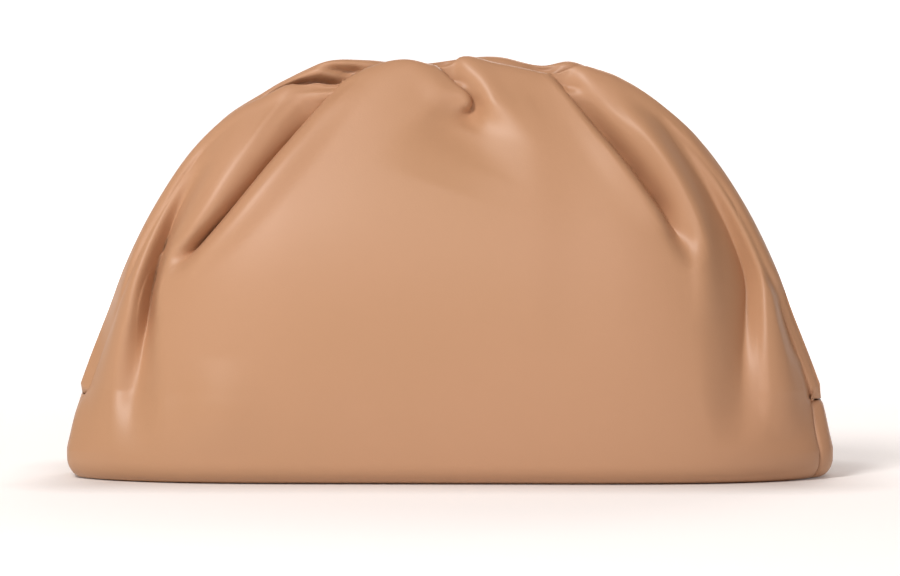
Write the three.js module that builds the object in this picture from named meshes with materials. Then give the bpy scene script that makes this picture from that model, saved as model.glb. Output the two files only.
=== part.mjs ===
// Cloud pouch bag: soft leather gathered over a hidden arched frame, standing on its flat base.
// Millimetres, +Z up. The front faces -Y, and +X is to the right seen from the front.
import * as THREE from 'three';

// Driving dimensions
const bagWidth = 380; // across the widest, just above the base
const archHeight = 191; // centre of the frame rod above the base, at the middle
const hingeHeight = 44; // where the two halves of the frame meet at each side
const bellyDepth = 58; // centre plane to the fullest part of each panel
const sideDepth = 20; // half the width of a gusset at its foot
const leather = 1.6; // thickness of every leather wall
const rodRadius = 2.6; // frame rod
const clearance = 0.3; // between neighbouring pieces
const mouthSlit = 1; // between the two rolled lips
const hemDepth = 16; // leather turned down inside the mouth
const gatherRise = 14; // how far the gathered leather can stand above the frame
const foldDepth = 14; // a full fold, into the panel
const foldWidth = 30; // the puffed side of a full fold
const shoulderRun = 160; // drop below the mouth over which a panel swells out
const sideRun = 120; // distance from the side over which a panel swells out
const footRoll = 14; // radius with which the walls turn under the base
const cornerRound = 8; // how far the lower corners are rounded, seen from the front
const baseSeam = 330; // length of the seam along the middle of the base
const hingeReach = 5.5; // how far the frame's rods run on below the hinges
const hingeTurn = 5; // how far its end loops reach below that
const settleDrop = 60; // drop below the frame over which the gathers fan out to their places
const columnSpan = 13; // along the mouth, from one column of a panel to the next

const halfWidth = bagWidth / 2;
const lipRadius = rodRadius + clearance + leather;
const lipOffset = mouthSlit / 2 + lipRadius;

// The frame's arch from the hinge to the middle: reach is a share of half the width, and height a
// share of the way from the hinge up to the middle of the arch.
const archRows = [
  { reach: 0.939, height: 0.0 },
  { reach: 0.912, height: 0.095 },
  { reach: 0.868, height: 0.245 },
  { reach: 0.826, height: 0.393 },
  { reach: 0.747, height: 0.599 },
  { reach: 0.646, height: 0.788 },
  { reach: 0.547, height: 0.902 },
  { reach: 0.458, height: 0.953 },
  { reach: 0.337, height: 0.975 },
  { reach: 0.168, height: 0.994 },
  { reach: 0.0, height: 1.0 },
];

// The outline of the side below the hinge: height is a share of the hinge height, and reach a share
// of half the width.
const sideRows = [
  { height: 0.0, reach: 1.0 },
  { height: 0.33, reach: 1.0 },
  { height: 0.5, reach: 0.991 },
  { height: 0.7, reach: 0.98 },
  { height: 1.0, reach: 0.963 },
];

// Lines down the front panel, which its folds follow. mouth is a share of the arch from the left
// hinge. lean is how far the lip's top leans to the right, and upper, knee, lower and foot are the
// places one quarter, half, three quarters and all of the way down, as shares of half the width.
// crisp marks a line that the leather folds over sharply.
const frontLines = [
  { name: 'side_left', mouth: 0.0, lean: 0, upper: -0.963, knee: -0.975, lower: -0.984, foot: -0.991, crisp: 0 },
  { name: 'rim_left', mouth: 0.073, lean: 0, upper: -0.889, knee: -0.908, lower: -0.921, foot: -0.926, crisp: 0 },
  { name: 'valley_left', mouth: 0.235, lean: 0, upper: -0.742, knee: -0.81, lower: -0.842, foot: -0.847, crisp: 0 },
  { name: 'roll_left', mouth: 0.33, lean: 0, upper: -0.62, knee: -0.785, lower: -0.81, foot: -0.8, crisp: 0 },
  { name: 'crease_left', mouth: 0.39, lean: 0.037, upper: -0.521, knee: -0.72, lower: -0.74, foot: -0.72, crisp: 1 },
  { name: 'pinch', mouth: 0.511, lean: -0.068, upper: 0.053, knee: 0.042, lower: 0.053, foot: 0.063, crisp: 1 },
  { name: 'soft_right', mouth: 0.577, lean: 0, upper: 0.316, knee: 0.368, lower: 0.384, foot: 0.384, crisp: 0 },
  { name: 'crease_right', mouth: 0.614, lean: -0.047, upper: 0.497, knee: 0.642, lower: 0.658, foot: 0.642, crisp: 1 },
  { name: 'roll_right', mouth: 0.652, lean: 0, upper: 0.616, knee: 0.674, lower: 0.689, foot: 0.684, crisp: 0 },
  { name: 'valley_right', mouth: 0.704, lean: 0, upper: 0.663, knee: 0.758, lower: 0.758, foot: 0.753, crisp: 0 },
  { name: 'rim_right', mouth: 0.817, lean: 0, upper: 0.79, knee: 0.84, lower: 0.875, foot: 0.885, crisp: 0 },
  { name: 'side_right', mouth: 1.0, lean: 0, upper: 0.941, knee: 0.945, lower: 0.951, foot: 0.96, crisp: 0 },
];

// Lines down the back panel, in the same columns.
const backLines = [
  { name: 'side_left', mouth: 0.0, lean: 0, upper: -0.955, knee: -0.965, lower: -0.972, foot: -0.98, crisp: 0 },
  { name: 'outer_left', mouth: 0.2, lean: 0, upper: -0.77, knee: -0.82, lower: -0.84, foot: -0.84, crisp: 0 },
  { name: 'inner_left', mouth: 0.355, lean: 0, upper: -0.52, knee: -0.62, lower: -0.66, foot: -0.66, crisp: 0 },
  { name: 'mid_left', mouth: 0.45, lean: 0, upper: -0.2, knee: -0.25, lower: -0.28, foot: -0.28, crisp: 0 },
  { name: 'mid_right', mouth: 0.56, lean: 0, upper: 0.24, knee: 0.31, lower: 0.34, foot: 0.34, crisp: 0 },
  { name: 'inner_right', mouth: 0.655, lean: 0, upper: 0.53, knee: 0.63, lower: 0.67, foot: 0.67, crisp: 0 },
  { name: 'outer_right', mouth: 0.8, lean: 0, upper: 0.79, knee: 0.84, lower: 0.86, foot: 0.86, crisp: 0 },
  { name: 'side_right', mouth: 1.0, lean: 0, upper: 0.965, knee: 0.978, lower: 0.987, foot: 0.993, crisp: 0 },
];

// Folds of the front panel. start, peak and end are shares of the way down the line. depth is a share
// of a full fold, outward where it is negative. left and right are widths, as shares of the fold width.
const frontFolds = [
  { line: 'crease_left', start: 0.02, peak: 0.3, end: 0.56, depth: 0.75, left: 1.0, leftForm: 'puff', right: 0.3, rightForm: 'edge' },
  { line: 'crease_left', start: 0.45, peak: 0.62, end: 1.0, depth: 0.2, left: 0.3, leftForm: 'soft', right: 0.4, rightForm: 'soft' },
  { line: 'roll_left', start: 0.0, peak: 0.3, end: 0.6, depth: -0.3, left: 0.45, leftForm: 'soft', right: 0.45, rightForm: 'soft' },
  { line: 'valley_left', start: 0.0, peak: 0.45, end: 0.95, depth: 0.6, left: 0.5, leftForm: 'soft', right: 0.4, rightForm: 'soft' },
  { line: 'pinch', start: 0.0, peak: 0.05, end: 0.13, depth: 0.5, left: 0.3, leftForm: 'edge', right: 0.35, rightForm: 'puff' },
  { line: 'pinch', start: 0.02, peak: 0.1, end: 0.3, depth: 0.25, left: 1.0, leftForm: 'soft', right: 0.4, rightForm: 'soft' },
  { line: 'soft_right', start: 0.15, peak: 0.45, end: 0.9, depth: 0.12, left: 0.7, leftForm: 'soft', right: 0.7, rightForm: 'soft' },
  { line: 'crease_right', start: 0.02, peak: 0.28, end: 0.46, depth: 0.8, left: 0.3, leftForm: 'edge', right: 0.8, rightForm: 'puff' },
  { line: 'roll_right', start: 0.0, peak: 0.35, end: 0.8, depth: -0.25, left: 0.35, leftForm: 'soft', right: 0.4, rightForm: 'soft' },
  { line: 'valley_right', start: 0.02, peak: 0.5, end: 0.92, depth: 0.6, left: 0.45, leftForm: 'soft', right: 0.45, rightForm: 'soft' },
  { line: 'rim_right', start: 0.1, peak: 0.5, end: 0.85, depth: 0.2, left: 0.3, leftForm: 'soft', right: 0.25, rightForm: 'soft' },
];

// Folds of the back panel, which hangs in plain soft gathers.
const backFolds = [
  { line: 'outer_left', start: 0.0, peak: 0.4, end: 0.95, depth: 0.5, left: 0.6, leftForm: 'soft', right: 0.5, rightForm: 'soft' },
  { line: 'inner_left', start: 0.02, peak: 0.35, end: 0.7, depth: 0.6, left: 0.5, leftForm: 'soft', right: 0.6, rightForm: 'soft' },
  { line: 'mid_left', start: 0.0, peak: 0.2, end: 0.5, depth: 0.35, left: 0.6, leftForm: 'soft', right: 0.6, rightForm: 'soft' },
  { line: 'mid_right', start: 0.0, peak: 0.25, end: 0.6, depth: 0.4, left: 0.6, leftForm: 'soft', right: 0.6, rightForm: 'soft' },
  { line: 'inner_right', start: 0.02, peak: 0.35, end: 0.75, depth: 0.6, left: 0.6, leftForm: 'soft', right: 0.5, rightForm: 'soft' },
  { line: 'outer_right', start: 0.0, peak: 0.4, end: 0.95, depth: 0.5, left: 0.5, leftForm: 'soft', right: 0.6, rightForm: 'soft' },
];

// How far each lip stands above the frame: mouth is a share of the arch, rise a share of gatherRise.
const frontLip = [
  { mouth: 0.0, rise: 0.06 },
  { mouth: 0.33, rise: 0.06 },
  { mouth: 0.35, rise: 0.25 },
  { mouth: 0.387, rise: 0.06 },
  { mouth: 0.405, rise: 0.2 },
  { mouth: 0.433, rise: 0.79 },
  { mouth: 0.466, rise: 0.79 },
  { mouth: 0.488, rise: 0.6 },
  { mouth: 0.506, rise: 0.86 },
  { mouth: 0.546, rise: 0.64 },
  { mouth: 0.598, rise: 0.45 },
  { mouth: 0.614, rise: 0.9 },
  { mouth: 0.637, rise: 0.79 },
  { mouth: 0.666, rise: 0.46 },
  { mouth: 0.697, rise: 0.17 },
  { mouth: 0.74, rise: 0.06 },
  { mouth: 1.0, rise: 0.06 },
];
const backLip = [
  { mouth: 0.0, rise: 0.06 },
  { mouth: 0.28, rise: 0.06 },
  { mouth: 0.326, rise: 0.21 },
  { mouth: 0.345, rise: 0.6 },
  { mouth: 0.383, rise: 0.98 },
  { mouth: 0.423, rise: 0.86 },
  { mouth: 0.46, rise: 0.64 },
  { mouth: 0.546, rise: 0.9 },
  { mouth: 0.588, rise: 0.7 },
  { mouth: 0.61, rise: 0.93 },
  { mouth: 0.637, rise: 0.7 },
  { mouth: 0.697, rise: 0.1 },
  { mouth: 0.74, rise: 0.06 },
  { mouth: 1.0, rise: 0.06 },
];

// Where the leather is sampled from the hem's lower edge, over the lip, down the wall and under
const hemSteps = [1, 0];
const lipAngles = [-90, -45, 0, 45, 90];
const flareSteps = [0.5];
const wallSteps = [0, 0.04, 0.08, 0.13, 0.19, 0.26, 0.33, 0.4, 0.48, 0.56, 0.65, 0.75, 0.87, 1];
const rollAngles = [30, 60, 90];
const baseSteps = [0.45, 0.85, 1];
const gussetTop = 0.04; // share of the way down a panel's side where the gusset begins
const gussetColumns = 6;

// What a fold's cross-section does with the distance from its line, given as a share of its width
const foldForms = {
  edge: (t) => 1 - Math.sqrt(1 - (1 - t) ** 2),
  puff: (t) => (1 - t) ** 2,
  soft: (t) => 0.5 + 0.5 * Math.cos(Math.PI * t),
};

const { clamp, lerp, smoothstep, degToRad } = THREE.MathUtils;

// The arch of the frame rod's centre, from the left hinge over the middle to the right hinge
function archPoint(row, side) {
  const height = lerp(hingeHeight, archHeight, row.height);
  return new THREE.Vector3(side * row.reach * halfWidth, 0, height);
}
const archPoints = [
  ...archRows.map((row) => archPoint(row, -1)),
  ...archRows.slice(0, -1).reverse().map((row) => archPoint(row, 1)),
];
const arch = new THREE.CatmullRomCurve3(archPoints, false, 'centripetal');
arch.arcLengthDivisions = 1000;

function archFrame(share) {
  const centre = arch.getPointAt(share);
  const along = arch.getTangentAt(share);
  const outward = new THREE.Vector3(-along.z, 0, along.x);
  return { centre, along, outward };
}

// Straight interpolation in a table, by the named columns
function lookUp(rows, from, to, value) {
  const first = rows[0];
  if (value <= first[from]) return first[to];
  for (let i = 1; i < rows.length; i += 1) {
    if (value <= rows[i][from]) {
      const share = (value - rows[i - 1][from]) / (rows[i][from] - rows[i - 1][from]);
      return lerp(rows[i - 1][to], rows[i][to], share);
    }
  }
  return rows[rows.length - 1][to];
}

// Rounded interpolation in a lip table, so that the gathers run into each other softly
function lipRise(rows, share) {
  for (let i = 1; i < rows.length; i += 1) {
    if (share <= rows[i].mouth) {
      const rise = smoothstep(share, rows[i - 1].mouth, rows[i].mouth);
      return gatherRise * lerp(rows[i - 1].rise, rows[i].rise, rise);
    }
  }
  return gatherRise * rows[rows.length - 1].rise;
}

// A line down the panel at a share of the way down from the frame to the foot
function lineX(line, down) {
  const mouth = arch.getPointAt(line.mouth).x / halfWidth;
  const knots = [mouth, line.upper, line.knee, line.lower, line.foot];
  const last = knots.length - 1;
  const place = clamp(down, 0, 1) * last;
  const i = Math.min(Math.floor(place), last - 1);
  const t = place - i;
  const before = knots[Math.max(i - 1, 0)];
  const after = knots[Math.min(i + 2, last)];
  const slopeStart = (knots[i + 1] - before) / 2;
  const slopeEnd = (after - knots[i]) / 2;
  const cube = t ** 3;
  const square = t ** 2;
  return halfWidth * (
    (2 * cube - 3 * square + 1) * knots[i]
    + (cube - 2 * square + t) * slopeStart
    + (3 * square - 2 * cube) * knots[i + 1]
    + (cube - square) * slopeEnd
  );
}

function linePoint(line, down) {
  const top = arch.getPointAt(line.mouth).z;
  return new THREE.Vector2(lineX(line, down), lerp(top, footRoll, clamp(down, 0, 1)));
}

// Half of a panel's outline seen from the front, from the middle of the arch down to the foot
function halfOutline(sideLine) {
  const archSamples = 200;
  const sideSamples = 20;
  const samples = [];
  const end = Math.round(sideLine.mouth);
  for (let i = 0; i <= archSamples; i += 1) {
    const point = arch.getPointAt(lerp(0.5, end, i / archSamples));
    samples.push({ reach: Math.abs(point.x), height: point.z });
  }
  for (let i = 1; i <= sideSamples; i += 1) {
    const point = linePoint(sideLine, i / sideSamples);
    samples.push({ reach: Math.abs(point.x), height: point.y });
  }
  return { falling: samples, rising: [...samples].reverse() };
}

function outlineOf(panel, x) {
  return x < 0 ? panel.leftOutline : panel.rightOutline;
}

function outlineReach(panel, x, z) {
  return lookUp(outlineOf(panel, x).rising, 'height', 'reach', z);
}

// How far a panel has swelled out, from 0 at its outline to 1 at its fullest
function swell(share) {
  const t = clamp(share, 0, 1);
  return (1 - (1 - t) ** 2) ** 0.75;
}

function fullness(panel, x, z) {
  const below = lookUp(outlineOf(panel, x).falling, 'reach', 'height', Math.abs(x)) - z;
  const beside = outlineReach(panel, x, z) - Math.abs(x);
  const fromTop = swell(below / shoulderRun);
  const fromSide = swell(beside / sideRun);
  if (fromTop === 0 || fromSide === 0) return 0;
  const sharpness = 4;
  const both = (fromTop ** -sharpness + fromSide ** -sharpness) / 2;
  return both ** (-1 / sharpness);
}

// Half depth of the bag at a place seen from the front, before the folds
function halfDepth(panel, x, z, lipDepth) {
  const drop = clamp((hingeHeight - z) / (hingeHeight - footRoll), 0, 1);
  const edge = lerp(lipDepth, Math.max(sideDepth, lipDepth), drop);
  return edge + (bellyDepth - edge) * fullness(panel, x, z);
}

// Depth of all the folds at a place on the panel
function foldsAt(panel, x, z, down) {
  const step = 0.02;
  const place = new THREE.Vector2(x, z);
  let depth = 0;
  for (const fold of panel.folds) {
    const line = panel.lines.find((row) => row.name === fold.line);
    let near = down;
    let offset = new THREE.Vector2();
    let along = new THREE.Vector2();
    for (let pass = 0; pass < 3; pass += 1) {
      const before = linePoint(line, near - step);
      along = linePoint(line, near + step).sub(before);
      const stretch = along.length() / (2 * step);
      along.normalize();
      offset = place.clone().sub(linePoint(line, near));
      near = clamp(near + offset.dot(along) / Math.max(stretch, foldWidth), 0, 1);
    }
    offset = place.clone().sub(linePoint(line, near));
    const aside = along.x * offset.y - along.y * offset.x;
    const width = foldWidth * (aside < 0 ? fold.left : fold.right);
    const share = Math.abs(aside) / width;
    if (share >= 1) continue;
    const form = foldForms[aside < 0 ? fold.leftForm : fold.rightForm];
    const rising = smoothstep(near, fold.start, fold.peak);
    const fading = 1 - smoothstep(near, fold.peak, fold.end);
    depth += foldDepth * fold.depth * rising * fading * form(share);
  }
  return depth;
}

// The columns of a panel, spread between its lines and drawn close to the crisp ones
function panelColumns(panel) {
  const crowding = 1.3;
  const columns = [];
  for (let i = 0; i + 1 < panel.lines.length; i += 1) {
    const left = panel.lines[i];
    const right = panel.lines[i + 1];
    const span = (right.mouth - left.mouth) * arch.getLength();
    const count = Math.max(2, Math.round(span / columnSpan));
    for (let k = 0; k < count; k += 1) {
      let share = k / count;
      if (left.crisp) share **= crowding;
      if (right.crisp) share = 1 - (1 - share) ** crowding;
      columns.push({ left, right, share });
    }
  }
  columns.push({ left: panel.lines.at(-2), right: panel.lines.at(-1), share: 1 });
  return columns;
}

// Where a line is at a height. Above the frame's rod, it runs along the outline.
function lineAt(panel, line, z) {
  const top = arch.getPointAt(line.mouth).z;
  const side = line.mouth < 0.5 ? -1 : 1;
  if (z >= top) return side * outlineReach(panel, side, z);
  return lineX(line, (top - z) / (top - footRoll));
}

// A point of the wall, seen from the front, at a share of the way down its column. A column starts at
// its own place on the arch and settles to its share of the way between its two lines.
function wallPlace(panel, column, down) {
  const mouth = lerp(column.left.mouth, column.right.mouth, column.share);
  const top = arch.getPointAt(mouth);
  const z = lerp(top.z, footRoll, down);
  const between = (height) => lerp(
    lineAt(panel, column.left, height),
    lineAt(panel, column.right, height),
    column.share,
  );
  const unsettled = clamp(1 - (top.z - z) / Math.min(settleDrop, top.z - footRoll), 0, 1) ** 2;
  return { x: between(z) + (top.x - between(top.z)) * unsettled, z };
}

// Folds run out softly where the panel has little room behind it, so they stay clear of the frame
function withinRoom(fold, room) {
  const leastRoom = 0.01;
  return fold > 0 ? room * (1 - Math.exp(-fold / Math.max(room, leastRoom))) : fold;
}

function wallPoint(panel, column, down, lipDepth) {
  const { x, z } = wallPlace(panel, column, down);
  const depthAt = (across, up) => halfDepth(panel, x + across, z + up, lipDepth);
  const depth = depthAt(0, 0);
  const nudge = 1;
  const slopeX = (depthAt(nudge, 0) - depthAt(-nudge, 0)) / (2 * nudge);
  const slopeZ = (depthAt(0, nudge) - depthAt(0, -nudge)) / (2 * nudge);
  const outward = new THREE.Vector3(-slopeX, -1, -slopeZ).normalize();
  const fold = withinRoom(foldsAt(panel, x, z, down), depth - lipDepth);
  return new THREE.Vector3(x, -depth, z).addScaledVector(outward, -fold);
}

// One column of a panel's outer surface, from the hem's lower edge to the seam under the base. The
// front panel's column is made here, and the back panel's is the same on the other side.
function panelColumn(panel, column) {
  const mouth = lerp(column.left.mouth, column.right.mouth, column.share);
  const lean = halfWidth * lerp(column.left.lean, column.right.lean, column.share);
  const rise = lipRise(panel.lip, mouth);
  const { centre, along, outward } = archFrame(mouth);
  const flare = rise / 2;
  const lipDepth = lipOffset + lipRadius + flare;

  function lipPoint(height, depth) {
    const leaning = (lean * clamp(height, 0, rise + lipRadius)) / (gatherRise + lipRadius);
    const point = centre.clone().addScaledVector(outward, height).addScaledVector(along, leaning);
    point.y = -depth;
    return point;
  }

  const points = hemSteps.map((step) => lipPoint(-hemDepth * step, lipOffset - lipRadius));
  for (const angle of lipAngles) {
    const turn = degToRad(angle);
    points.push(lipPoint(rise + lipRadius * Math.cos(turn), lipOffset + lipRadius * Math.sin(turn)));
  }
  for (const step of flareSteps) {
    points.push(lipPoint(rise * (1 - step), lipOffset + lipRadius + flare * step ** 2));
  }
  for (const step of wallSteps) {
    points.push(wallPoint(panel, column, step, lipDepth));
  }
  const foot = points.at(-1).clone();
  const nearSide = clamp(1 - (halfWidth - Math.abs(foot.x)) / (sideRun / 2), 0, 1);
  const inset = cornerRound * nearSide ** 2 * Math.sign(foot.x);
  const rollDepth = (footRoll * -foot.y) / bellyDepth;
  for (const angle of rollAngles) {
    const turn = degToRad(angle);
    const under = 1 - Math.cos(turn);
    const height = footRoll * (1 - Math.sin(turn));
    points.push(new THREE.Vector3(foot.x - inset * under, foot.y + rollDepth * under, height));
  }
  const underFoot = points.at(-1).clone();
  underFoot.z = 0;
  points[points.length - 1] = underFoot;
  const seamPoint = new THREE.Vector3((underFoot.x * baseSeam) / bagWidth, -clearance / 2, 0);
  for (const step of baseSteps) {
    points.push(underFoot.clone().lerp(seamPoint, step));
  }
  return points;
}

// Normals of a grid of points. With side 1 they point into the bag on its front and on its right, and
// with side -1 on its back and on its left.
function inwardNormals(grid, side) {
  return grid.map((points, i) => points.map((point, j) => {
    const right = grid[Math.min(i + 1, grid.length - 1)][j];
    const left = grid[Math.max(i - 1, 0)][j];
    const next = points[Math.min(j + 1, points.length - 1)];
    const previous = points[Math.max(j - 1, 0)];
    const across = right.clone().sub(left);
    const down = next.clone().sub(previous);
    return across.cross(down).setLength(side);
  }));
}

// One closed body between an outer and an inner grid of the same size
function shell(outer, inner) {
  const columns = outer.length;
  const rows = outer[0].length;
  const positions = [];
  for (const grid of [outer, inner]) {
    for (const points of grid) {
      for (const point of points) positions.push(point.x, point.y, point.z);
    }
  }
  const at = (layer, i, j) => (layer * columns + i) * rows + j;
  const triangles = [];
  function quad(a, b, c, d) {
    triangles.push(a, b, c, a, c, d);
  }
  for (let i = 0; i + 1 < columns; i += 1) {
    for (let j = 0; j + 1 < rows; j += 1) {
      quad(at(0, i, j), at(0, i, j + 1), at(0, i + 1, j + 1), at(0, i + 1, j));
      quad(at(1, i, j), at(1, i + 1, j), at(1, i + 1, j + 1), at(1, i, j + 1));
    }
    quad(at(0, i, 0), at(0, i + 1, 0), at(1, i + 1, 0), at(1, i, 0));
    quad(at(0, i + 1, rows - 1), at(0, i, rows - 1), at(1, i, rows - 1), at(1, i + 1, rows - 1));
  }
  for (let j = 0; j + 1 < rows; j += 1) {
    quad(at(0, 0, j + 1), at(0, 0, j), at(1, 0, j), at(1, 0, j + 1));
    quad(at(0, columns - 1, j), at(0, columns - 1, j + 1), at(1, columns - 1, j + 1), at(1, columns - 1, j));
  }
  return facingOut(positions, triangles);
}

// A geometry whose faces point out of the body they enclose
function facingOut(positions, triangles) {
  const corner = (index) => new THREE.Vector3(...positions.slice(3 * index, 3 * index + 3));
  let volume = 0;
  for (let i = 0; i < triangles.length; i += 3) {
    const [a, b, c] = triangles.slice(i, i + 3).map(corner);
    volume += a.dot(b.cross(c)) / 6;
  }
  if (volume < 0) triangles.reverse();
  const geometry = new THREE.BufferGeometry();
  geometry.setAttribute('position', new THREE.Float32BufferAttribute(positions, 3));
  geometry.setIndex(triangles);
  geometry.computeVertexNormals();
  return geometry;
}

// Rows of a panel where the gusset beside it begins, where the walls turn under, and where the base
// begins
const rowsAboveWall = hemSteps.length + lipAngles.length + flareSteps.length;
const gussetRow = rowsAboveWall + wallSteps.indexOf(gussetTop);
const rollRow = rowsAboveWall + wallSteps.length;
const baseRow = rollRow + rollAngles.length;

// How far out a side reaches in the middle of its gusset, at a row of the panels beside it
function gussetReach(row, height) {
  const above = halfWidth * lookUp(sideRows, 'height', 'reach', height / hingeHeight);
  if (row < rollRow) return above;
  const turn = degToRad(rollAngles[Math.min(row, baseRow - 1) - rollRow]);
  const rounded = above - cornerRound * (1 - Math.cos(turn));
  return row < baseRow ? rounded : lerp(rounded, baseSeam / 2, baseSteps[row - baseRow]);
}

// A gusset closes the side between the two panels below the hinge, bowed out to the side outline. It
// ends just before the panels meet under the base.
function gussetOuter(side, frontEdge, backEdge) {
  const grid = [];
  for (let k = 0; k <= gussetColumns; k += 1) grid.push([]);
  for (let row = gussetRow; row < frontEdge.length - 1; row += 1) {
    const across = backEdge[row].clone().sub(frontEdge[row]).setLength(1.2 * clearance);
    const start = frontEdge[row].clone().add(across);
    const end = backEdge[row].clone().sub(across);
    const reach = gussetReach(row, start.z);
    for (let k = 0; k <= gussetColumns; k += 1) {
      const share = k / gussetColumns;
      const point = start.clone().lerp(end, share);
      point.x = lerp(point.x, side * reach, 1 - (2 * share - 1) ** 4);
      grid[k].push(point);
    }
  }
  return grid;
}

// Where two walls meet, the direction in which both of them stay one leather thick
function mitre(inward, other) {
  return inward.clone().add(other).divideScalar(1 + inward.dot(other));
}

// Normals evened out with those beside them, so that the inner surface stays free of kinks at folds
function evened(normals) {
  return normals.map((column, i) => column.map((normal, j) => {
    const sum = normal.clone().multiplyScalar(2);
    if (i > 0 && i + 1 < normals.length) sum.add(normals[i - 1][j]).add(normals[i + 1][j]);
    if (j > rowsAboveWall && j < rollRow) sum.add(column[j - 1]).add(column[j + 1]);
    return sum.normalize();
  }));
}

// The inner surface of a panel, mitred where it meets the gussets
function panelInner(outer, side, leftGusset, rightGusset) {
  const normals = evened(inwardNormals(outer, side));
  return outer.map((points, i) => points.map((point, row) => {
    const inward = normals[i][row];
    let other = inward;
    if (row >= gussetRow && i === 0) other = leftGusset[Math.min(row - gussetRow, leftGusset.length - 1)];
    if (row >= gussetRow && i === outer.length - 1) {
      other = rightGusset[Math.min(row - gussetRow, rightGusset.length - 1)];
    }
    return point.clone().addScaledVector(mitre(inward, other), leather);
  }));
}

// The inner surface of a gusset, whose edges follow those of the panels
function gussetInner(outer, normals, frontEdge, backEdge) {
  return outer.map((points, k) => points.map((point, i) => {
    if (k > 0 && k < gussetColumns) return point.clone().addScaledVector(normals[k][i], leather);
    const edge = k === 0 ? frontEdge : backEdge;
    const row = i + gussetRow;
    return point.clone().add(edge.inner[row]).sub(edge.outer[row]);
  }));
}

function describePanel(lines, folds, lip) {
  return {
    lines,
    folds,
    lip,
    leftOutline: halfOutline(lines[0]),
    rightOutline: halfOutline(lines.at(-1)),
  };
}

function panelOuter(panel) {
  return panelColumns(panel).map((column) => panelColumn(panel, column));
}

const frontOuter = panelOuter(describePanel(frontLines, frontFolds, frontLip));
const backOuter = panelOuter(describePanel(backLines, backFolds, backLip));
for (const point of backOuter.flat()) point.y = -point.y;

const leftOuter = gussetOuter(-1, frontOuter[0], backOuter[0]);
const rightOuter = gussetOuter(1, frontOuter.at(-1), backOuter.at(-1));
const leftNormals = inwardNormals(leftOuter, -1);
const rightNormals = inwardNormals(rightOuter, 1);

const frontInner = panelInner(frontOuter, 1, leftNormals[0], rightNormals[0]);
const backInner = panelInner(backOuter, -1, leftNormals.at(-1), rightNormals.at(-1));
const leftInner = gussetInner(
  leftOuter,
  leftNormals,
  { outer: frontOuter[0], inner: frontInner[0] },
  { outer: backOuter[0], inner: backInner[0] },
);
const rightInner = gussetInner(
  rightOuter,
  rightNormals,
  { outer: frontOuter.at(-1), inner: frontInner.at(-1) },
  { outer: backOuter.at(-1), inner: backInner.at(-1) },
);

// The frame: both arches in one closed rod, joined by a short turn at each hinge
function makeFrame() {
  const archSteps = 34;
  const rodSides = 8;
  const route = [];
  for (const [depth, from, to] of [[-lipOffset, 0, 1], [lipOffset, 1, 0]]) {
    for (let i = 0; i <= archSteps; i += 1) {
      const { centre } = archFrame(lerp(from, to, i / archSteps));
      route.push(new THREE.Vector3(centre.x, depth, centre.z));
    }
    const { centre } = archFrame(to);
    const below = centre.z - hingeReach;
    route.push(new THREE.Vector3(centre.x, depth, below));
    route.push(new THREE.Vector3(centre.x, 0, below - hingeTurn));
    route.push(new THREE.Vector3(centre.x, -depth, below));
  }
  const path = new THREE.CatmullRomCurve3(route, true, 'centripetal');
  const rings = 2 * archSteps + 16;
  const frames = path.computeFrenetFrames(rings, true);
  const positions = [];
  const triangles = [];
  for (let i = 0; i < rings; i += 1) {
    const centre = path.getPointAt(i / rings);
    for (let k = 0; k < rodSides; k += 1) {
      const angle = (2 * Math.PI * k) / rodSides;
      const point = centre.clone();
      point.addScaledVector(frames.normals[i], rodRadius * Math.cos(angle));
      point.addScaledVector(frames.binormals[i], rodRadius * Math.sin(angle));
      positions.push(point.x, point.y, point.z);
      const next = (k + 1) % rodSides;
      const ring = i * rodSides;
      const ringAfter = ((i + 1) % rings) * rodSides;
      triangles.push(ring + k, ring + next, ringAfter + next);
      triangles.push(ring + k, ringAfter + next, ringAfter + k);
    }
  }
  return facingOut(positions, triangles);
}

// Materials and assembly
function leatherFinish() {
  return new THREE.MeshStandardMaterial({ color: 0xc89a76, roughness: 0.42, metalness: 0 });
}
function steelFinish() {
  return new THREE.MeshStandardMaterial({ color: 0x9a9a98, roughness: 0.35, metalness: 1 });
}

const bag = new THREE.Group();
function add(name, geometry, material) {
  const mesh = new THREE.Mesh(geometry, material);
  mesh.name = name;
  bag.add(mesh);
}
add('front_panel', shell(frontOuter, frontInner), leatherFinish());
add('back_panel', shell(backOuter, backInner), leatherFinish());
add('left_gusset', shell(leftOuter, leftInner), leatherFinish());
add('right_gusset', shell(rightOuter, rightInner), leatherFinish());
add('hidden_frame', makeFrame(), steelFinish());

// The origin is the middle of the base
const box = new THREE.Box3().setFromObject(bag);
const middle = box.getCenter(new THREE.Vector3());
bag.position.set(-middle.x, -middle.y, -box.min.z);

export default bag;
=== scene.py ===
# Cloud pouch bag: soft tan leather gathered over a hidden arched frame, standing on its flat base.
# Everything is worked out in millimetres and handed to Blender in metres.
import math

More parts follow.
